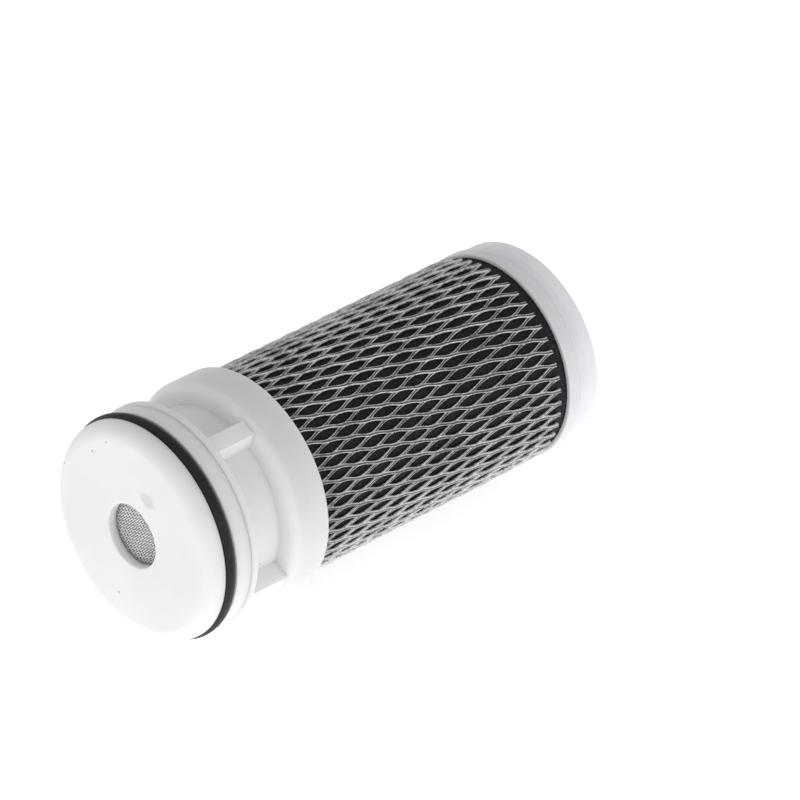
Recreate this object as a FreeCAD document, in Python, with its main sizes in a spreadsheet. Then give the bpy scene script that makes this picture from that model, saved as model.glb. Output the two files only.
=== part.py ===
import FreeCAD, Part
import os
import re
import Sketcher
from FreeCAD import Rotation, Vector

# A replaceable carbon cartridge that lies on its side. Its axis runs along +X: the outlet face
# points to -X, the closed end cap to +X. The origin is on the surface it lies on, under its middle.
# Every piece is drawn in the cartridge's own frame, where x is the distance behind the outlet face
# and the axis of the cartridge is the x axis.

doc = FreeCAD.newDocument("Cartridge")
sizes = doc.addObject("Spreadsheet::Sheet", "sizes")


drivingSizes = [
    ("totalLength", 108, "outlet face to the end cap's outer face"),
    ("collarRadius", 24, "collar and lip, the largest moulded radius"),
    # outlet cap
    ("boreRadius", 6.9, "outlet hole"),
    ("boreRound", 0.3, "rounded edge of the outlet hole"),
    ("boreDepth", 2.1, "outlet face to the screen"),
    ("faceWall", 2.4, "thickness of the outlet face"),
    ("faceRound", 3.4, "rounded outer edge of the outlet face"),
    ("frontStep", 0.5, "front land below the collar's radius"),
    ("frontLand", 0.3, "land between the rounded edge and the seal groove"),
    ("backStep", 0.4, "back land below the collar's radius"),
    ("outletCapLength", 10.6, "outlet face to the seam with the base cup"),
    ("seamEdge", 0.2, "small chamfer at the seam"),
    ("markRadius", 11.65, "centre of the ejector mark on the outlet face"),
    ("markLength", 4.0, "ejector mark, along the circumference"),
    ("markWidth", 1.9, "ejector mark, across"),
    ("markDepth", 0.08, "ejector mark, depth"),
    ("markAngle", 24, "ejector mark, turned from the top towards -Y, degrees"),
    # seal
    ("ringSection", 2.65, "seal cord diameter"),
    ("ringProud", 0.1, "seal beyond the collar's radius"),
    ("grooveSlack", 0.35, "groove wider than the seal cord"),
    # screen and its seat
    ("screenSeat", 1.0, "width of the ledge that the screen rests on"),
    ("screenGap", 0.1, "screen and retainer inside their seat"),
    ("screenThickness", 0.4, "woven screen"),
    ("seatWall", 2.0, "wall round the screen seat"),
    ("retainerLength", 2.6, "retainer ring along the axis"),
    ("retainerWall", 1.4, "retainer ring, radially"),
    # base cup
    ("lipLength", 1.5, "lip behind the seam"),
    ("lipRound", 0.3, "rounded edges of the lip"),
    ("recessLength", 9.7, "gap between lip and collar"),
    ("neckDepth", 4.6, "neck below the collar's radius"),
    ("neckWall", 2.0, "wall of the hollow neck"),
    ("spigotLength", 6.8, "spigot that enters the outlet cap"),
    ("spigotGap", 0.1, "clearance round the spigot"),
    ("ribStep", 0.6, "ribs below the collar's radius"),
    ("ribBaseWidth", 4.6, "rib at the neck"),
    ("ribTopWidth", 3.7, "rib at its outer face"),
    ("ribAngle", 26.5, "first rib, turned from the top towards -Y, degrees"),
    ("ribCount", 4, "ribs round the neck"),
    ("collarLength", 9.2, "collar along the axis"),
    ("collarRound", 2.0, "rounded front edge of the collar"),
    ("collarRim", 0.35, "rounded back edge of the collar"),
    ("cupWall", 1.0, "wall of the collar round the core"),
    ("cupFloor", 2.0, "floor of the collar"),
    ("spoutLength", 5.0, "spout that enters the core tube"),
    # core
    ("netGap", 0.4, "net inside the collar"),
    ("netThickness", 1.2, "net, radially"),
    ("netStart", 0.6, "glue to the start of the net"),
    ("netEnd", 2.3, "end of the net to the end cap"),
    ("glueThickness", 1.8, "glue behind the core's ends"),
    ("glueRise", 4.4, "glue round the core inside the collar"),
    ("glueGap", 0.1, "glue skin clear of the core"),
    ("tubeRadius", 7.0, "core tube, outside"),
    ("tubeWall", 1.0, "core tube wall"),
    ("spoutGap", 0.1, "spout and plug inside the core tube"),
    ("spoutWall", 1.3, "wall of the spout"),
    ("slotLength", 5.0, "opening in the core tube, along the axis"),
    ("slotWidth", 2.6, "opening in the core tube, across"),
    ("slotMargin", 9.0, "core tube's end to the nearest opening's middle"),
    ("slotRows", 10, "rows of openings along the core tube"),
    ("fleeceGap", 0.1, "fleece round the core tube"),
    ("fleeceThickness", 1.2, "inner fleece"),
    ("carbonGap", 0.1, "carbon round the inner fleece"),
    # end cap
    ("capLength", 8.6, "end cap along the axis"),
    ("capGap", 0.15, "end cap round the core"),
    ("capWall", 1.0, "end cap's skirt, radially"),
    ("capSkirt", 2.6, "end cap's skirt along the axis"),
    ("capRimRound", 0.35, "rounded edge of the skirt"),
    ("capCone", 1.2, "slope from the skirt down to the waist, along the axis"),
    ("capDip", 0.9, "end cap's waist below its skirt"),
    ("capGlue", 1.0, "glue between the core and the end cap"),
    ("capFloor", 5.6, "end cap behind the core"),
    ("capBase", 2.0, "rim of the closed end along the axis"),
    ("capBaseStep", 0.45, "rim of the closed end below the skirt"),
    ("capRise", 0.8, "slope from the waist up to the closed end, along the axis"),
    ("capRound", 0.7, "rounded outer edge of the closed end"),
    ("plugLength", 5.0, "plug that enters the core tube"),
    ("dishInset", 4.0, "outer edge of the closed end to its dished middle"),
    ("dishDepth", 3.0, "dished middle of the closed end"),
    ("dishDraft", 0.6, "slope of the dish's wall"),
]

derivedSizes = [
    ("frontRadius", "collarRadius - frontStep", "front land"),
    ("backRadius", "collarRadius - backStep", "back land"),
    ("ringRadius", "collarRadius + ringProud", "outside of the seal"),
    ("grooveFloor", "ringRadius - ringSection", "floor of the seal groove"),
    ("grooveFront", "faceRound + frontLand", "front wall of the groove"),
    ("grooveBack", "grooveFront + ringSection + grooveSlack", "back wall of the groove"),
    ("seatRadius", "boreRadius + screenSeat", "seat of the screen and its retainer"),
    ("screenBack", "boreDepth + screenThickness", "back of the screen"),
    ("seatDepth", "screenBack + retainerLength", "back of the retainer and of its seat"),
    ("lipBack", "outletCapLength + lipLength", "back of the lip"),
    ("collarFront", "lipBack + recessLength", "front of the collar"),
    ("collarBack", "collarFront + collarLength", "open end of the collar"),
    ("neckRadius", "collarRadius - neckDepth", "neck and spigot"),
    ("neckBore", "neckRadius - neckWall", "inside of the neck"),
    ("ribRadius", "collarRadius - ribStep", "outer face of the ribs"),
    ("cupBore", "collarRadius - cupWall", "inside of the collar"),
    ("cupBottom", "collarFront + cupFloor", "inside of the collar's floor"),
    ("netRadius", "cupBore - netGap", "outside of the net"),
    ("coreRadius", "netRadius - netThickness", "outside of the carbon"),
    ("coreFront", "cupBottom + glueThickness", "front of the core"),
    ("capFront", "totalLength - capLength", "open rim of the end cap"),
    ("capBottom", "totalLength - capFloor", "inside of the end cap"),
    ("coreBack", "capBottom - capGlue", "back of the core"),
    ("glueEnd", "coreFront + glueRise", "end of the glue in the collar"),
    ("capBore", "coreRadius + capGap", "inside of the end cap"),
    ("capRadius", "capBore + capWall", "skirt of the end cap"),
    ("capWaist", "capRadius - capDip", "waist of the end cap"),
    ("capBaseRadius", "capRadius - capBaseStep", "rim of the closed end"),
    ("capBaseFront", "totalLength - capBase", "front of that rim"),
    ("plugFront", "coreBack - plugLength", "tip of the plug"),
    ("tubeBore", "tubeRadius - tubeWall", "inside of the core tube"),
    ("spoutRadius", "tubeBore - spoutGap", "spout and plug"),
    ("fleeceBore", "tubeRadius + fleeceGap", "inside of the fleece"),
    ("fleeceRadius", "fleeceBore + fleeceThickness", "outside of the fleece"),
    ("carbonBore", "fleeceRadius + carbonGap", "inside of the carbon"),
    ("slotSpan", "coreBack - coreFront - 2 * slotMargin", "first to last row of openings"),
]

sheetRows = [(name, str(size), meaning) for name, size, meaning in drivingSizes]
sheetRows += [(name, "=" + formula, meaning) for name, formula, meaning in derivedSizes]
for row, (name, content, meaning) in enumerate(sheetRows, start=1):
    sizes.set(f"A{row}", meaning)
    sizes.set(f"B{row}", content)
    sizes.setAlias(f"B{row}", name)
doc.recompute()


def fromSheet(formula):
    """The same formula with each size read from the sheet."""
    return re.sub(r"[A-Za-z]\w*", r"sizes.\g<0>", str(formula))


def newPiece(label):
    piece = doc.addObject("PartDesign::Body", label)
    piece.Label = label
    return piece


def plane(piece, role):
    return next(item for item in piece.Origin.OriginFeatures if item.Role == role)


def newSketch(piece, name, role):
    sketch = piece.newObject("Sketcher::SketchObject", name)
    sketch.AttachmentSupport = [(plane(piece, role), "")]
    sketch.MapMode = "FlatFace"
    return sketch


def value(sketch, formula):
    return float(sketch.evalExpression(fromSheet(formula)))


def pin(sketch, geometry, vertex, across, up):
    """Holds one vertex at its two distances from the sketch's origin."""
    for kind, formula in (("DistanceX", across), ("DistanceY", up)):
        size = value(sketch, formula)
        index = sketch.addConstraint(
            Sketcher.Constraint(kind, -1, 1, geometry, vertex, size))
        if formula != 0:
            sketch.setExpression(f"Constraints[{index}]", fromSheet(formula))


def outline(sketch, corners):
    """A closed outline. A corner is (along, out), or (along, out, centre along, centre out) for an
    arc that ends there."""
    places = [tuple(value(sketch, item) for item in corner) for corner in corners]
    ends = []
    for place, before, corner in zip(places, places[-1:] + places[:-1], corners):
        start = Vector(*before[:2])
        end = Vector(*place[:2])
        if len(corner) == 2:
            side = sketch.addGeometry(Part.LineSegment(start, end), False)
            ends.append((1, 2))
        else:
            centre = Vector(*place[2:])
            bulge = (start + end) * 0.5 - centre
            bulge.multiply((start - centre).Length / bulge.Length)
            forwards = (start - centre).cross(end - centre).z > 0
            first, second = (start, end) if forwards else (end, start)
            side = sketch.addGeometry(Part.Arc(first, centre + bulge, second), False)
            ends.append((1, 2) if forwards else (2, 1))
            held = sketch.addConstraint(Sketcher.Constraint(
                "DistanceX", -1, 1, side, 3, value(sketch, corner[2])))
            if corner[2] != 0:
                sketch.setExpression(f"Constraints[{held}]", fromSheet(corner[2]))
        pin(sketch, side, ends[-1][1], *corner[:2])
    for side in range(len(corners)):
        before = (side - 1) % len(corners)
        sketch.addConstraint(Sketcher.Constraint(
            "Coincident", before, ends[before][1], side, ends[side][0]))


def slot(sketch, along, out, length, width):
    """A round-ended slot about a middle point, its length along the sketch's first axis."""
    ahead = f"{along} + ({length} - {width}) / 2"
    behind = f"{along} - ({length} - {width}) / 2"
    outline(sketch, [
        (ahead, f"{out} - {width} / 2"),
        (f"{along} + {length} / 2", out, ahead, out),
        (ahead, f"{out} + {width} / 2", ahead, out),
        (behind, f"{out} + {width} / 2"),
        (f"{along} - {length} / 2", out, behind, out),
        (behind, f"{out} - {width} / 2", behind, out),
    ])


def turned(piece, corners, name="profile", feature="PartDesign::Revolution"):
    """Turns an outline, drawn above the axis, round the axis."""
    sketch = newSketch(piece, name, "XZ_Plane")
    outline(sketch, corners)
    turn = piece.newObject(feature, name + "Turned")
    turn.Profile = sketch
    turn.ReferenceAxis = (sketch, ["H_Axis"])
    turn.Angle = 360
    return turn


def tube(piece, front, back, bore, radius):
    return turned(piece, [(front, bore), (front, radius), (back, radius), (back, bore)])


def place(piece, angle=None):
    """Lays the piece on the ground, and turns it about the axis where its detail is to one side."""
    piece.setExpression("Placement.Base.x", "-sizes.totalLength / 2")
    piece.setExpression("Placement.Base.z", "sizes.ringRadius")
    if angle:
        piece.Placement = FreeCAD.Placement(Vector(), Rotation(Vector(1, 0, 0), 1))
        piece.setExpression("Placement.Rotation.Angle", fromSheet(angle))
    return piece


def outletCap():
    piece = newPiece("outlet_cap")
    turned(piece, [
        ("boreDepth", "boreRadius"),
        ("boreRound", "boreRadius"),
        (0, "boreRadius + boreRound", "boreRound", "boreRadius + boreRound"),
        (0, "frontRadius - faceRound"),
        ("faceRound", "frontRadius", "faceRound", "frontRadius - faceRound"),
        ("grooveFront", "frontRadius"),
        ("grooveFront", "grooveFloor"),
        ("grooveBack", "grooveFloor"),
        ("grooveBack", "backRadius"),
        ("outletCapLength - seamEdge", "backRadius"),
        ("outletCapLength", "backRadius - seamEdge"),
        ("outletCapLength", "neckRadius + spigotGap"),
        ("faceWall", "neckRadius + spigotGap"),
        ("faceWall", "seatRadius + seatWall"),
        ("seatDepth", "seatRadius + seatWall"),
        ("seatDepth", "seatRadius"),
        ("boreDepth", "seatRadius"),
    ])
    sketch = newSketch(piece, "mark", "YZ_Plane")
    slot(sketch, "0", "markRadius", "markLength", "markWidth")
    dent = piece.newObject("PartDesign::Pocket", "markDent")
    dent.Profile = sketch
    dent.setExpression("Length", "sizes.markDepth")
    dent.Reversed = True
    return place(piece, "markAngle")


def oRing():
    ring = doc.addObject("Part::Torus", "o_ring")
    ring.Label = "o_ring"
    ring.setExpression("Radius1", "sizes.ringRadius - sizes.ringSection / 2")
    ring.setExpression("Radius2", "sizes.ringSection / 2")
    ring.Placement = FreeCAD.Placement(Vector(), Rotation(Vector(0, 1, 0), 90))
    middle = "(sizes.grooveFront + sizes.grooveBack) / 2"
    ring.setExpression("Placement.Base.x", f"{middle} - sizes.totalLength / 2")
    ring.setExpression("Placement.Base.z", "sizes.ringRadius")
    return ring


def outletScreen():
    piece = newPiece("outlet_screen")
    turned(piece, [
        ("boreDepth", 0),
        ("boreDepth", "seatRadius - screenGap"),
        ("screenBack", "seatRadius - screenGap"),
        ("screenBack", 0),
    ])
    return place(piece)


def screenRetainer():
    piece = newPiece("screen_retainer")
    outside = "seatRadius - screenGap"
    tube(piece, "screenBack", "seatDepth", f"{outside} - retainerWall", outside)
    return place(piece)


def baseCup():
    piece = newPiece("base_cup")
    turned(piece, [
        ("outletCapLength - spigotLength", "neckBore"),
        ("outletCapLength - spigotLength", "neckRadius"),
        ("outletCapLength", "neckRadius"),
        ("outletCapLength", "collarRadius - lipRound"),
        ("outletCapLength + lipRound", "collarRadius",
         "outletCapLength + lipRound", "collarRadius - lipRound"),
        ("lipBack - lipRound", "collarRadius"),
        ("lipBack", "collarRadius - lipRound", "lipBack - lipRound", "collarRadius - lipRound"),
        ("lipBack", "neckRadius"),
        ("collarFront", "neckRadius"),
        ("collarFront", "collarRadius - collarRound"),
        ("collarFront + collarRound", "collarRadius",
         "collarFront + collarRound", "collarRadius - collarRound"),
        ("collarBack - collarRim", "collarRadius"),
        ("collarBack", "collarRadius - collarRim",
         "collarBack - collarRim", "collarRadius - collarRim"),
        ("collarBack", "cupBore"),
        ("cupBottom", "cupBore"),
        ("cupBottom", "spoutRadius"),
        ("cupBottom + spoutLength", "spoutRadius"),
        ("cupBottom + spoutLength", "spoutRadius - spoutWall"),
        ("collarFront", "spoutRadius - spoutWall"),
        ("collarFront", "neckBore"),
    ])
    # The rib's sketch lies across the axis, at the back of the lip.
    sketch = newSketch(piece, "rib", "YZ_Plane")
    sketch.setExpression("AttachmentOffset.Base.z", "sizes.lipBack")
    foot = "neckRadius - neckWall / 2"
    outline(sketch, [
        ("-ribBaseWidth / 2", foot),
        ("ribBaseWidth / 2", foot),
        ("ribTopWidth / 2", "ribRadius"),
        ("-ribTopWidth / 2", "ribRadius"),
    ])
    rib = piece.newObject("PartDesign::Pad", "ribPad")
    rib.Profile = sketch
    rib.setExpression("Length", "sizes.recessLength")
    ribs = piece.newObject("PartDesign::PolarPattern", "ribs")
    ribs.Originals = [rib]
    ribs.Axis = (plane(piece, "X_Axis"), [""])
    ribs.Angle = 360
    ribs.setExpression("Occurrences", "sizes.ribCount")
    piece.Tip = ribs
    return place(piece, "ribAngle")


def basePotting():
    piece = newPiece("base_potting")
    turned(piece, [
        ("cupBottom", "tubeBore"),
        ("cupBottom", "cupBore"),
        ("glueEnd", "cupBore"),
        ("glueEnd", "coreRadius + glueGap"),
        ("coreFront", "coreRadius + glueGap"),
        ("coreFront", "tubeBore"),
    ])
    return place(piece)


def coreTube():
    piece = newPiece("core_tube")
    tube(piece, "coreFront", "coreBack", "tubeBore", "tubeRadius")
    openings = []
    # A slot cut right through makes two openings; the second one crosses it.
    for role, name in (("XZ_Plane", "flankSlot"), ("XY_Plane", "crownSlot")):
        sketch = newSketch(piece, name, role)
        slot(sketch, "coreFront + slotMargin", 0, "slotLength", "slotWidth")
        cut = piece.newObject("PartDesign::Pocket", name + "Cut")
        cut.Profile = sketch
        cut.Type = "ThroughAll"
        cut.Midplane = True
        openings.append(cut)
    pattern = piece.newObject("PartDesign::LinearPattern", "slotPattern")
    pattern.Originals = openings
    pattern.Direction = (plane(piece, "X_Axis"), [""])
    pattern.setExpression("Length", "sizes.slotSpan")
    pattern.setExpression("Occurrences", "sizes.slotRows")
    piece.Tip = pattern
    return place(piece)


def innerFleece():
    piece = newPiece("inner_fleece")
    tube(piece, "coreFront", "coreBack", "fleeceBore", "fleeceRadius")
    return place(piece)


def carbonBlock():
    piece = newPiece("carbon_block")
    tube(piece, "coreFront", "coreBack", "carbonBore", "coreRadius")
    return place(piece)


def netSleeve():
    piece = newPiece("net_sleeve")
    tube(piece, "glueEnd + netStart", "capFront - netEnd", "coreRadius", "netRadius")
    return place(piece)


def capPotting():
    piece = newPiece("cap_potting")
    tube(piece, "coreBack", "capBottom", "tubeBore", "capBore")
    return place(piece)


def endCap():
    piece = newPiece("end_cap")
    turned(piece, [
        ("capFront", "capBore"),
        ("capFront", "capRadius - capRimRound"),
        ("capFront + capRimRound", "capRadius",
         "capFront + capRimRound", "capRadius - capRimRound"),
        ("capFront + capSkirt", "capRadius"),
        ("capFront + capSkirt + capCone", "capWaist"),
        ("capBaseFront - capRise", "capWaist"),
        ("capBaseFront", "capBaseRadius"),
        ("totalLength - capRound", "capBaseRadius"),
        ("totalLength", "capBaseRadius - capRound",
         "totalLength - capRound", "capBaseRadius - capRound"),
        ("totalLength", "capBaseRadius - dishInset"),
        ("totalLength - dishDepth", "capBaseRadius - dishInset - dishDraft"),
        ("totalLength - dishDepth", 0),
        ("plugFront", 0),
        ("plugFront", "spoutRadius"),
        ("capBottom", "spoutRadius"),
        ("capBottom", "capBore"),
    ])
    return place(piece)


pieces = [
    outletCap(), oRing(), outletScreen(), screenRetainer(), baseCup(), basePotting(), coreTube(),
    innerFleece(), carbonBlock(), netSleeve(), capPotting(), endCap(),
]
doc.recompute()

faults = [f"{item.Name}: {item.State}" for item in doc.Objects
          if "Invalid" in item.State or "Error" in item.State]
faults += [piece.Label for piece in pieces if piece.Shape.isNull() or not piece.Shape.isValid()]
if faults:
    raise RuntimeError("; ".join(faults))

os.makedirs("parts", exist_ok=True)
for piece in pieces:
    piece.Shape.exportStep(f"parts/{piece.Label}.step")
    print(f"{piece.Label}: {len(piece.Shape.Solids)} solid, {piece.Shape.Volume:.1f} mm3")
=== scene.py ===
from math import cos, floor, pi, radians, sin, sqrt, tau

import bpy
from mathutils import Matrix, Vector, noise


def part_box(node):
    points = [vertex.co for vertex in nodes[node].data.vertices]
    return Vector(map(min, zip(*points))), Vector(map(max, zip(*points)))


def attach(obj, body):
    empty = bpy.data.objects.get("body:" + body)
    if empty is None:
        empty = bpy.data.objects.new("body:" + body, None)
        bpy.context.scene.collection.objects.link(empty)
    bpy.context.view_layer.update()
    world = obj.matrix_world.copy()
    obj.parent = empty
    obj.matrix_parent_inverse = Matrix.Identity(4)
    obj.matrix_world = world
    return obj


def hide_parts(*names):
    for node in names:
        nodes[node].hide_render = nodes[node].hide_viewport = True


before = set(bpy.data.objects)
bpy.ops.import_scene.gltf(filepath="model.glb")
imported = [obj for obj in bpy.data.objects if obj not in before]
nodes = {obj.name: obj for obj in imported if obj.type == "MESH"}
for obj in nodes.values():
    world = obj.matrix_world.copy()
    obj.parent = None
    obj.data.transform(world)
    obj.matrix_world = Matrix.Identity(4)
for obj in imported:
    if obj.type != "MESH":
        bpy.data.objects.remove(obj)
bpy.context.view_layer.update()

mm = 0.001

# The cartridge lies along x. These places come from the frame.
sealLow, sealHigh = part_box("o_ring")
axisHeight = (sealLow.z + sealHigh.z) / 2
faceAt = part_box("outlet_cap")[0].x
middle = Vector((0, 0, axisHeight))


def around(along, out, turn):
    # turn is in radians from the top towards -y
    return Vector((along, -out * sin(turn), axisHeight + out * cos(turn)))


def newObject(name, verts, faces, smooth=True):
    mesh = bpy.data.meshes.new(name)
    mesh.from_pydata(verts, [], faces)
    mesh.validate()
    mesh.update()
    mesh.polygons.foreach_set("use_smooth", [smooth] * len(mesh.polygons))
    obj = bpy.data.objects.new(name, mesh)
    bpy.context.scene.collection.objects.link(obj)
    return obj


def skin(first, rings, size):
    # faces over rings of points in a row, closed at both ends
    faces = []
    for ring in range(rings - 1):
        for k in range(size):
            a = first + ring * size + k
            b = first + ring * size + (k + 1) % size
            faces.append((a, b, b + size, a + size))
    faces.append([first + k for k in range(size)][::-1])
    last = first + (rings - 1) * size
    faces.append([last + k for k in range(size)])
    return faces


# ---- camera ----
view = {
    "aim": Vector((46.08, 28.4, -1.43)) * mm,
    "distance": 1.5287,
    "turn": radians(-43.6),
    "height": radians(32.73),
    "roll": radians(0.09),
    "lean": radians(0.745),    # the far end of the lying cartridge is a little lower
    "lens": 328.6,
}


def addCamera():
    back = Vector((sin(view["turn"]) * cos(view["height"]),
                   -cos(view["turn"]) * cos(view["height"]),
                   sin(view["height"])))
    data = bpy.data.cameras.new("camera")
    data.sensor_width = 36
    data.lens = view["lens"]
    data.clip_start = 0.1
    data.clip_end = 20
    camera = bpy.data.objects.new("camera", data)
    bpy.context.scene.collection.objects.link(camera)
    turned = (-back).to_track_quat("-Z", "Y").to_matrix().to_4x4()
    spin = Matrix.Rotation(view["roll"], 4, "Z")
    start = Matrix.Translation(view["aim"] + back * view["distance"]) @ turned @ spin
    face = Vector((faceAt, 0, axisHeight))
    lean = Matrix.Rotation(-view["lean"], 4, "Y")
    camera.matrix_world = Matrix.Translation(face) @ lean @ Matrix.Translation(-face) @ start
    bpy.context.scene.camera = camera


addCamera()
print("camera placed")


# ---- floor and light ----
studio = {
    "floorSize": 6.0,
    "floorColour": (0.93, 0.93, 0.93, 1),
    "floorGlow": 0.7,
    "surround": 0.56,
    "backdrop": 0.97,
    "keyPower": 2.8,
    "keySize": 1.0,
    "keyFrom": Vector((-1.6, -0.25, 0.15)),
    "fillPower": 3.8,
    "fillSize": 1.2,
    "fillFrom": Vector((-0.1, -1.6, 0.1)),
}


def addLight(name, power, size, place):
    data = bpy.data.lights.new(name, "AREA")
    data.energy = power
    data.shape = "DISK"
    data.size = size
    light = bpy.data.objects.new(name, data)
    light.location = place
    light.rotation_mode = "QUATERNION"
    light.rotation_quaternion = (middle - place).to_track_quat("-Z", "Y")
    bpy.context.scene.collection.objects.link(light)


def addStudio():
    half = studio["floorSize"] / 2
    ground = newObject(
        "ground", [(-half, -half, 0), (half, -half, 0), (half, half, 0), (-half, half, 0)],
        [(0, 1, 2, 3)])
    mat = bpy.data.materials.new("ground")
    mat.use_nodes = True
    shader = mat.node_tree.nodes["Principled BSDF"]
    shader.inputs["Base Color"].default_value = studio["floorColour"]
    shader.inputs["Roughness"].default_value = 0.9
    shader.inputs["Specular IOR Level"].default_value = 0.1
    shader.inputs["Emission Color"].default_value = (1, 1, 1, 1)
    shader.inputs["Emission Strength"].default_value = studio["floorGlow"]
    ground.data.materials.append(mat)
    world = bpy.data.worlds.new("surround")
    bpy.context.scene.world = world
    world.use_nodes = True
    tree = world.node_tree
    background = tree.nodes["Background"]
    seen = tree.nodes.new("ShaderNodeLightPath")
    level = tree.nodes.new("ShaderNodeMapRange")
    level.inputs["To Min"].default_value = studio["surround"]
    level.inputs["To Max"].default_value = studio["backdrop"]
    background.inputs["Color"].default_value = (1, 1, 1, 1)
    tree.links.new(seen.outputs["Is Camera Ray"], level.inputs["Value"])
    tree.links.new(level.outputs["Result"], background.inputs["Strength"])
    addLight("key", studio["keyPower"], studio["keySize"], studio["keyFrom"])
    addLight("fill", studio["fillPower"], studio["fillSize"], studio["fillFrom"])
    bpy.context.scene.view_settings.view_transform = "Standard"


addStudio()
print("studio lit")


# ---- shared shader effects ----
def newGroup(name, inputs, outputs):
    group = bpy.data.node_groups.new(name, "ShaderNodeTree")
    for label, start in inputs:
        socket = group.interface.new_socket(label, in_out="INPUT", socket_type="NodeSocketFloat")
        socket.default_value = start
    for label in outputs:
        group.interface.new_socket(label, in_out="OUTPUT", socket_type="NodeSocketFloat")
    return group, group.nodes.new("NodeGroupInput"), group.nodes.new("NodeGroupOutput")


def join(tree, source, target):
    tree.links.new(source, target)


def mathNode(tree, kind, first, second=None, clamp=False):
    node = tree.nodes.new("ShaderNodeMath")
    node.operation = kind
    node.use_clamp = clamp
    for index, item in enumerate((first, second)):
        if item is None:
            continue
        if isinstance(item, (int, float)):
            node.inputs[index].default_value = item
        else:
            join(tree, item, node.inputs[index])
    return node.outputs[0]


def placedNoise(tree, size, detail=3.0, roughness=0.55):
    # size is the size of one lump in metres, as a socket or a number
    coordinates = tree.nodes.new("ShaderNodeTexCoord")
    texture = tree.nodes.new("ShaderNodeTexNoise")
    texture.inputs["Detail"].default_value = detail
    texture.inputs["Roughness"].default_value = roughness
    join(tree, coordinates.outputs["Object"], texture.inputs["Vector"])
    join(tree, mathNode(tree, "DIVIDE", 1.0, size), texture.inputs["Scale"])
    return texture.outputs["Fac"]


def makeGrain():
    # fine surface grain over slow cloudy variation
    group, source, out = newGroup(
        "grain", [("Fine Size", 0.0004), ("Cloud Size", 0.012), ("Cloud", 0.5)], ["Shade", "Height"])
    fine = placedNoise(group, source.outputs["Fine Size"], 4.0, 0.6)
    cloud = placedNoise(group, source.outputs["Cloud Size"], 2.0, 0.5)
    weight = source.outputs["Cloud"]
    part = mathNode(group, "MULTIPLY", cloud, weight)
    rest = mathNode(group, "MULTIPLY", fine, mathNode(group, "SUBTRACT", 1.0, weight))
    join(group, mathNode(group, "ADD", part, rest), out.inputs["Shade"])
    join(group, fine, out.inputs["Height"])
    return group


def makeSpecks():
    # a few tiny dark specks, as dust or burnt grains in a moulding
    group, source, out = newGroup("specks", [("Spacing", 0.009), ("Size", 0.05), ("Share", 0.3)],
                                  ["Mask"])
    coordinates = group.nodes.new("ShaderNodeTexCoord")
    cells = group.nodes.new("ShaderNodeTexVoronoi")
    cells.inputs["Randomness"].default_value = 1.0
    join(group, coordinates.outputs["Object"], cells.inputs["Vector"])
    join(group, mathNode(group, "DIVIDE", 1.0, source.outputs["Spacing"]), cells.inputs["Scale"])
    near = mathNode(group, "LESS_THAN", cells.outputs["Distance"], source.outputs["Size"])
    split = group.nodes.new("ShaderNodeSeparateColor")
    join(group, cells.outputs["Color"], split.inputs["Color"])
    chosen = mathNode(group, "LESS_THAN", split.outputs["Red"], source.outputs["Share"])
    join(group, mathNode(group, "MULTIPLY", near, chosen), out.inputs["Mask"])
    return group


def makeMarkPatch():
    # a soft oval patch about one place, broken into lobes
    group, source, out = newGroup(
        "markPatch", [("X", 0.0), ("Y", 0.0), ("Z", 0.0), ("Length", 0.002), ("Width", 0.001),
                   ("Depth", 0.001), ("Turn", 0.0)], ["Mask"])
    coordinates = group.nodes.new("ShaderNodeTexCoord")
    centre = group.nodes.new("ShaderNodeCombineXYZ")
    for label in ("X", "Y", "Z"):
        join(group, source.outputs[label], centre.inputs[label])
    apart = group.nodes.new("ShaderNodeVectorMath")
    apart.operation = "SUBTRACT"
    join(group, coordinates.outputs["Object"], apart.inputs[0])
    join(group, centre.outputs["Vector"], apart.inputs[1])
    spin = group.nodes.new("ShaderNodeVectorRotate")
    spin.rotation_type = "X_AXIS"
    join(group, apart.outputs["Vector"], spin.inputs["Vector"])
    join(group, source.outputs["Turn"], spin.inputs["Angle"])
    split = group.nodes.new("ShaderNodeSeparateXYZ")
    join(group, spin.outputs["Vector"], split.inputs["Vector"])
    along = mathNode(group, "DIVIDE", split.outputs["Y"], source.outputs["Length"])
    across = mathNode(group, "DIVIDE", split.outputs["Z"], source.outputs["Width"])
    deep = mathNode(group, "DIVIDE", split.outputs["X"], source.outputs["Depth"])
    total = mathNode(group, "ADD", mathNode(group, "MULTIPLY", along, along),
                     mathNode(group, "MULTIPLY", across, across))
    total = mathNode(group, "ADD", total, mathNode(group, "MULTIPLY", deep, deep))
    ragged = placedNoise(group, 0.0016, 2.0, 0.5)
    wander = mathNode(group, "MULTIPLY", mathNode(group, "SUBTRACT", ragged, 0.5), 1.6)
    edge = mathNode(group, "ADD", mathNode(group, "SQRT", total), wander)
    fade = group.nodes.new("ShaderNodeMapRange")
    fade.interpolation_type = "SMOOTHSTEP"
    fade.inputs["From Min"].default_value = 0.45
    fade.inputs["From Max"].default_value = 1.25
    fade.inputs["To Min"].default_value = 1.0
    fade.inputs["To Max"].default_value = 0.0
    join(group, edge, fade.inputs["Value"])
    join(group, fade.outputs["Result"], out.inputs["Mask"])
    return group


grainGroup = makeGrain()
specksGroup = makeSpecks()
markPatchGroup = makeMarkPatch()


def newMaterial(name):
    mat = bpy.data.materials.new(name)
    mat.use_nodes = True
    return mat, mat.node_tree, mat.node_tree.nodes["Principled BSDF"]


def useGroup(tree, group, **values):
    node = tree.nodes.new("ShaderNodeGroup")
    node.node_tree = group
    for label, number in values.items():
        node.inputs[label.replace("_", " ")].default_value = number
    return node


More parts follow.
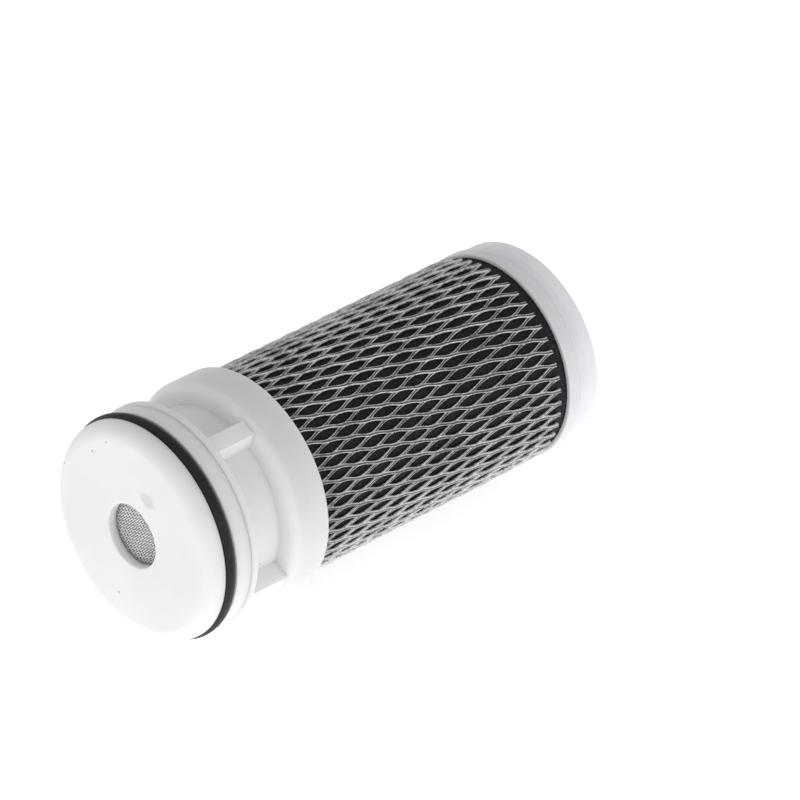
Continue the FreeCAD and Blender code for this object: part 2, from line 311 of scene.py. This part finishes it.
def ramp(tree, factor, stops):
    node = tree.nodes.new("ShaderNodeValToRGB")
    marks = node.color_ramp.elements
    while len(marks) < len(stops):
        marks.new(0.5)
    for mark, (place, colour) in zip(marks, stops):
        mark.position = place
        mark.color = (*colour, 1)
    join(tree, factor, node.inputs["Fac"])
    return node.outputs["Color"]


def bump(tree, shader, height, depth, strength=1.0):
    node = tree.nodes.new("ShaderNodeBump")
    node.inputs["Distance"].default_value = depth
    node.inputs["Strength"].default_value = strength
    join(tree, height, node.inputs["Height"])
    join(tree, node.outputs["Normal"], shader.inputs["Normal"])


def grey(level, warm=0.0):
    return (level * (1 + warm), level, level * (1 - warm))


def between(tree, factor, low, high):
    node = tree.nodes.new("ShaderNodeMapRange")
    node.inputs["To Min"].default_value = low
    node.inputs["To Max"].default_value = high
    join(tree, factor, node.inputs["Value"])
    return node.outputs["Result"]


# ---- materials ----
mouldedWhite = {
    "light": (0.905, 0.9, 0.905),
    "shaded": (0.86, 0.855, 0.862),
    "coolLight": (0.88, 0.875, 0.92),
    "coolShaded": (0.83, 0.825, 0.875),
    "speckColour": (0.16, 0.13, 0.11),
    "markGrey": (0.75, 0.75, 0.755),
    "rough": (0.42, 0.6),
    "grain": {"Fine_Size": 0.5 * mm, "Cloud_Size": 14 * mm, "Cloud": 0.7},
    "grainDepth": 0.03 * mm,
    "specks": {"Spacing": 8 * mm, "Size": 0.024, "Share": 0.5},
    "glow": 0.6,    # share of light that passes into the plastic
    "glowColour": (1.0, 0.96, 0.92),
    "glowReach": 3 * mm,
}


def tinted(tree, body, mask, share, colour):
    # body colour with another colour laid over it where the mask is set
    mix = tree.nodes.new("ShaderNodeMix")
    mix.data_type = "RGBA"
    join(tree, mathNode(tree, "MULTIPLY", mask, share), mix.inputs["Factor"])
    join(tree, body, mix.inputs["A"])
    mix.inputs["B"].default_value = (*colour, 1)
    return mix.outputs["Result"]


def whitePlastic(name, light, shaded, markPatch=None):
    mat, tree, shader = newMaterial(name)
    grain = useGroup(tree, grainGroup, **mouldedWhite["grain"])
    specks = useGroup(tree, specksGroup, **mouldedWhite["specks"])
    body = ramp(tree, grain.outputs["Shade"], [(0.35, shaded), (0.62, light)])
    body = tinted(tree, body, specks.outputs["Mask"], 1.0, mouldedWhite["speckColour"])
    # a soft grey patch laid over the colour about the given place
    if markPatch:
        patch = useGroup(tree, markPatchGroup, **markPatch)
        body = tinted(tree, body, patch.outputs["Mask"], 1.0, mouldedWhite["markGrey"])
    join(tree, body, shader.inputs["Base Color"])
    rough = between(tree, grain.outputs["Shade"], *mouldedWhite["rough"])
    join(tree, rough, shader.inputs["Roughness"])
    shader.inputs["IOR"].default_value = 1.49
    shader.inputs["Specular IOR Level"].default_value = 0.4
    shader.inputs["Subsurface Weight"].default_value = mouldedWhite["glow"]
    shader.inputs["Subsurface Radius"].default_value = mouldedWhite["glowColour"]
    shader.inputs["Subsurface Scale"].default_value = mouldedWhite["glowReach"]
    bump(tree, shader, grain.outputs["Height"], mouldedWhite["grainDepth"], 0.5)
    return mat


rubber = {
    "colours": [(0.35, grey(0.006)), (0.65, grey(0.016))],
    "rough": (0.36, 0.62),
    "grain": {"Fine_Size": 0.25 * mm, "Cloud_Size": 4 * mm, "Cloud": 0.4},
    "grainDepth": 0.05 * mm,
}


def sealRubber():
    mat, tree, shader = newMaterial("sealRubber")
    grain = useGroup(tree, grainGroup, **rubber["grain"])
    body = ramp(tree, grain.outputs["Shade"], rubber["colours"])
    join(tree, body, shader.inputs["Base Color"])
    rough = between(tree, grain.outputs["Shade"], *rubber["rough"])
    join(tree, rough, shader.inputs["Roughness"])
    shader.inputs["Specular IOR Level"].default_value = 0.3
    bump(tree, shader, grain.outputs["Height"], rubber["grainDepth"], 0.8)
    return mat


carbon = {
    "colours": [(0.32, grey(0.007)), (0.55, grey(0.016)), (0.72, grey(0.04))],
    "rough": (0.7, 0.95),
    "grain": {"Fine_Size": 0.45 * mm, "Cloud_Size": 6 * mm, "Cloud": 0.25},
    "grainDepth": 0.22 * mm,
    "grit": {"Spacing": 0.42 * mm, "Size": 0.35, "Share": 0.5},
    "gritColour": grey(0.06),
    "gritShare": 0.7,
}


def boundCarbon():
    mat, tree, shader = newMaterial("boundCarbon")
    grain = useGroup(tree, grainGroup, **carbon["grain"])
    grit = useGroup(tree, specksGroup, **carbon["grit"])
    body = ramp(tree, grain.outputs["Shade"], carbon["colours"])
    body = tinted(tree, body, grit.outputs["Mask"], carbon["gritShare"], carbon["gritColour"])
    join(tree, body, shader.inputs["Base Color"])
    rough = between(tree, grain.outputs["Shade"], *carbon["rough"])
    join(tree, rough, shader.inputs["Roughness"])
    shader.inputs["Specular IOR Level"].default_value = 0.3
    bump(tree, shader, grain.outputs["Height"], carbon["grainDepth"], 0.8)
    return mat


netPlastic = {
    "colours": [(0.1, grey(0.02)), (0.5, grey(0.09)), (1.0, grey(0.95))],    # dark middle painted as the core seen through, to painted highlight
    "uneven": 1.9,
    "rough": (0.05, 0.4),
    "grain": {"Fine_Size": 0.7 * mm, "Cloud_Size": 6 * mm, "Cloud": 0.35},
    "grainDepth": 0.2 * mm,
    "gloss": 0.9,
    "glossRough": 0.12,
}


def clearNet():
    # painted highlight, bright along a strand's two edges; dark in the middle, painted as the dark
    # core seen through the clear plastic
    mat, tree, shader = newMaterial("clearNet")
    edge = tree.nodes.new("ShaderNodeAttribute")
    edge.attribute_name = "edge"
    grain = useGroup(tree, grainGroup, **netPlastic["grain"])
    uneven = mathNode(tree, "SUBTRACT", grain.outputs["Shade"], 0.5)
    uneven = mathNode(tree, "MULTIPLY", uneven, netPlastic["uneven"])
    # painted highlight from the edge attribute, made uneven by the grain
    level = mathNode(tree, "ADD", edge.outputs["Fac"], uneven, clamp=True)
    join(tree, ramp(tree, level, netPlastic["colours"]), shader.inputs["Base Color"])
    rough = between(tree, grain.outputs["Height"], *netPlastic["rough"])
    join(tree, rough, shader.inputs["Roughness"])
    shader.inputs["IOR"].default_value = 1.5
    shader.inputs["Specular IOR Level"].default_value = 1.0
    shader.inputs["Coat Weight"].default_value = netPlastic["gloss"]
    shader.inputs["Coat Roughness"].default_value = netPlastic["glossRough"]
    bump(tree, shader, grain.outputs["Height"], netPlastic["grainDepth"], 0.9)
    return mat


steel = {
    "colours": [(0.35, grey(0.74, 0.01)), (0.65, grey(0.94))],
    "paintedShadowColour": grey(0.1),
    "paintedShadowShare": 0.6,
    "rough": (0.28, 0.5),
    "grain": {"Fine_Size": 0.2 * mm, "Cloud_Size": 3 * mm, "Cloud": 0.5},
    "metal": 0.6,
}


def wireSteel():
    # painted shadow: darker where the edge attribute is set, at the rim of the screen where the bore
    # shades it
    mat, tree, shader = newMaterial("wireSteel")
    grain = useGroup(tree, grainGroup, **steel["grain"])
    edge = tree.nodes.new("ShaderNodeAttribute")
    edge.attribute_name = "edge"
    body = ramp(tree, grain.outputs["Shade"], steel["colours"])
    body = tinted(tree, body, edge.outputs["Fac"], steel["paintedShadowShare"], steel["paintedShadowColour"])
    join(tree, body, shader.inputs["Base Color"])
    rough = between(tree, grain.outputs["Shade"], *steel["rough"])
    join(tree, rough, shader.inputs["Roughness"])
    shader.inputs["Metallic"].default_value = steel["metal"]
    return mat


insides = {
    # light and shaded colour, roughness, grain size and grain depth
    "naturalPlastic": (grey(0.8, 0.01), grey(0.7, 0.01), (0.4, 0.6), 0.6 * mm, 0.04 * mm),
    "hotMelt": (grey(0.82, 0.03), grey(0.72, 0.05), (0.25, 0.45), 2 * mm, 0.1 * mm),
    "fleece": (grey(0.88), grey(0.7), (0.85, 1.0), 0.3 * mm, 0.2 * mm),
}


def plainInside(name):
    light, shaded, rough, fineSize, depth = insides[name]
    mat, tree, shader = newMaterial(name)
    grain = useGroup(tree, grainGroup, Fine_Size=fineSize, Cloud_Size=8 * mm, Cloud=0.5)
    body = ramp(tree, grain.outputs["Shade"], [(0.35, shaded), (0.65, light)])
    join(tree, body, shader.inputs["Base Color"])
    join(tree, between(tree, grain.outputs["Shade"], *rough), shader.inputs["Roughness"])
    bump(tree, shader, grain.outputs["Height"], depth, 0.7)
    return mat


# places behind the outlet face, out from the axis and turned from the top
marks = {
    "ejector": {"behind": 0.0, "out": 11.65 * mm, "turn": radians(24),
                "patch": {"Length": 2.2 * mm, "Width": 1.7 * mm}},
    "scuff": {"behind": 104.6 * mm, "out": 21.7 * mm, "turn": radians(-22),
              "patch": {"Length": 1.5 * mm, "Width": 2 * mm, "Depth": 0.35 * mm}},
}


def patchFor(name):
    mark = marks[name]
    place = around(faceAt + mark["behind"], mark["out"], mark["turn"])
    return {"X": place.x, "Y": place.y, "Z": place.z, "Turn": -mark["turn"], **mark["patch"]}


moulding = whitePlastic("mouldedWhite", mouldedWhite["light"], mouldedWhite["shaded"])
markedMoulding = whitePlastic(
    "mouldedMarked", mouldedWhite["light"], mouldedWhite["shaded"], patchFor("ejector"))
coolMoulding = whitePlastic(
    "mouldedCoolWhite", mouldedWhite["coolLight"], mouldedWhite["coolShaded"], patchFor("scuff"))
natural = plainInside("naturalPlastic")
hotMelt = plainInside("hotMelt")
fleece = plainInside("fleece")

finishes = {
    "outlet_cap": markedMoulding,
    "base_cup": moulding,
    "end_cap": coolMoulding,
    "o_ring": sealRubber(),
    "carbon_block": boundCarbon(),
    "screen_retainer": natural,
    "core_tube": natural,
    "base_potting": hotMelt,
    "cap_potting": hotMelt,
    "inner_fleece": fleece,
}
for name, mat in finishes.items():
    for place in nodes[name].material_slots:
        place.material = mat
print("materials given to", len(finishes), "nodes")


# ---- net sleeve ----
netLow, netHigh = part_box("net_sleeve")
coreLow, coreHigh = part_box("carbon_block")
net = {
    "strands": 49,
    "pitch": 10.4 * mm,
    "stretch": 2.4 * mm,
    "stretchFrom": 72 * mm + faceAt,
    "stretchTo": 88 * mm + faceAt,
    "start": netLow.x,
    "end": netHigh.x,
    "coreRadius": (coreHigh.z - coreLow.z) / 2,
    "netRadius": (netHigh.z - netLow.z) / 2,
    "width": 0.65 * mm,
    "thick": 0.78 * mm,
    "nodeAt": 58.0 * mm + faceAt,
    "nodeTurn": -0.245,
    "straighten": 0.42,
    "sway": 0.24 * mm,
    "swayLength": 9 * mm,
    "swayRound": 2.4,
    "endFade": 2 * mm,    # the sway dies out this close to either end
    "press": 0.6,    # share of the layers' gap that closes where strands meet
    "spread": 0.25,    # how much wider a strand is where it meets another
    "step": 0.42 * mm,
    "seed": Vector((3.1, 7.7, 1.3)),
    "noiseSeed": 5,
}
net["layer"] = (net["netRadius"] - net["coreRadius"] - net["thick"]) / 2
noise.seed_set(net["noiseSeed"])    # without it the noise starts from the clock


def sway(along, turn):
    # slow drift of the whole net, the same for every strand that passes a place
    place = Vector((along / net["swayLength"], cos(turn) * net["swayRound"],
                    sin(turn) * net["swayRound"]))
    drift = noise.noise_vector(place + net["seed"])
    return drift.x * net["sway"], drift.y * net["sway"]


def stepsAt(along):
    # strand pitches from the reference node; the net is pulled longer towards its far end
    share = (along - net["stretchFrom"]) / (net["stretchTo"] - net["stretchFrom"])
    share = min(1.0, max(0.0, share))
    pulled = net["stretch"] * share * share * (3 - 2 * share)
    return (along - pulled - net["nodeAt"]) / net["pitch"]


def strandTurn(along, index, lean):
    # a strand leans steadily and runs straighter where it meets the others
    steps = stepsAt(along)
    wave = net["straighten"] * sin(4 * pi * steps) / (4 * pi)
    return tau / net["strands"] * (index + net["nodeTurn"] + lean * (steps - wave))


def strandRings(index, lean):
    count = round((net["end"] - net["start"]) / net["step"])
    places = []
    for step in range(count + 1):
        along = net["start"] + (net["end"] - net["start"]) * step / count
        turn = strandTurn(along, index, lean)
        shiftAlong, shiftAcross = sway(along, turn)
        nearest = min(along - net["start"], net["end"] - along)
        endShare = min(1.0, nearest / net["endFade"])
        turn += shiftAcross / net["netRadius"]
        meeting = cos(2 * pi * stepsAt(along)) ** 2    # 1 where strands meet
        out = (net["coreRadius"] + net["thick"] / 2 + net["layer"]
               + lean * net["layer"] * (1 - net["press"] * meeting))
        places.append((along + shiftAlong * endShare, out, turn, meeting))
    return places


# a strand's outline with two rounded ridges: across, up, and how much painted highlight it carries
# there, bright on the ridges and dark in the middle
section = [
    (1.0, -0.2, 0.9), (0.92, 0.4, 0.9), (0.68, 0.85, 0.95), (0.36, 0.5, 0.2), (0.0, 0.32, 0.0),
    (-0.36, 0.5, 0.2), (-0.68, 0.85, 0.95), (-0.92, 0.4, 0.9), (-1.0, -0.2, 0.9),
    (-0.7, -0.8, 0.5), (0.0, -1.0, 0.0), (0.7, -0.8, 0.5),
]


def addNet():
    verts, faces, paintedLight = [], [], []
    for lean in (1, -1):
        for index in range(net["strands"]):
            places = strandRings(index, lean)
            first = len(verts)
            for along, out, turn, meeting in places:
                halfWidth = net["width"] / 2 * (1 + net["spread"] * meeting)
                for across, up, paintedHighlight in section:
                    verts.append(around(along, out + net["thick"] / 2 * up,
                                        turn + across * halfWidth / out))
                    paintedLight.append(paintedHighlight)
            faces += skin(first, len(places), len(section))
    sleeve = newObject("netStrands", verts, faces)    # the strands are closed tubes
    # the edge attribute carries the painted highlight of each point
    sleeve.data.attributes.new("edge", "FLOAT", "POINT").data.foreach_set("value", paintedLight)
    sleeve.data.materials.append(clearNet())
    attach(sleeve, "root")
    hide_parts("net_sleeve")
    return sleeve


addNet()
print("net made")


# ---- outlet screen ----
screenLow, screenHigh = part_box("outlet_screen")
screen = {
    "pitches": (0.92 * mm, 0.44 * mm),    # between the wires of each way
    "wires": (0.3 * mm, 0.25 * mm),
    "radius": (screenHigh.z - screenLow.z) / 2,
    "at": (screenLow.x + screenHigh.x) / 2,
    "turn": radians(44),
    "rise": 0.14 * mm,    # how far a wire goes over and under
    "sides": 6,
    "openTo": 5.7 * mm,    # the bore's shadow is painted on the weave beyond this radius
    "shadow": 1.2 * mm,
}


def addScreen():
    verts, faces, paintedLight = [], [], []
    for way in (0, 1):
        pitch, crossPitch = screen["pitches"][way], screen["pitches"][1 - way]
        half = screen["wires"][way] / 2
        reach = floor(screen["radius"] / pitch)
        axis = Vector((0, cos(screen["turn"] + way * pi / 2), sin(screen["turn"] + way * pi / 2)))
        across = Vector((1, 0, 0)).cross(axis)
        for row in range(-reach, reach + 1):
            offset = row * pitch
            run = sqrt(max(0, screen["radius"] ** 2 - offset ** 2)) - half
            if run < crossPitch:
                continue
            count = max(4, round(2 * run / (crossPitch / 4)))
            first = len(verts)
            for step in range(count + 1):
                along = -run + 2 * run * step / count
                phase = pi * along / crossPitch + (row + way) * pi
                lift = screen["rise"] * cos(phase)
                centre = Vector((screen["at"] + lift, 0, axisHeight))
                centre += axis * along + across * offset
                # painted shadow: how deep the bore's painted shadow lies on the wire here
                far = (sqrt(along ** 2 + offset ** 2) - screen["openTo"]) / screen["shadow"]
                paintedLight += [min(1.0, max(0.0, far))] * screen["sides"]
                for k in range(screen["sides"]):
                    angle = tau * k / screen["sides"]
                    verts.append(centre + across * half * cos(angle)
                                 + Vector((half * sin(angle), 0, 0)))
            faces += skin(first, count + 1, screen["sides"])
    mesh = newObject("screenWeave", verts, faces)
    # the edge attribute carries the painted shadow of each point
    mesh.data.attributes.new("edge", "FLOAT", "POINT").data.foreach_set("value", paintedLight)
    mesh.data.materials.append(wireSteel())
    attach(mesh, "root")
    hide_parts("outlet_screen")


addScreen()
print("screen woven")
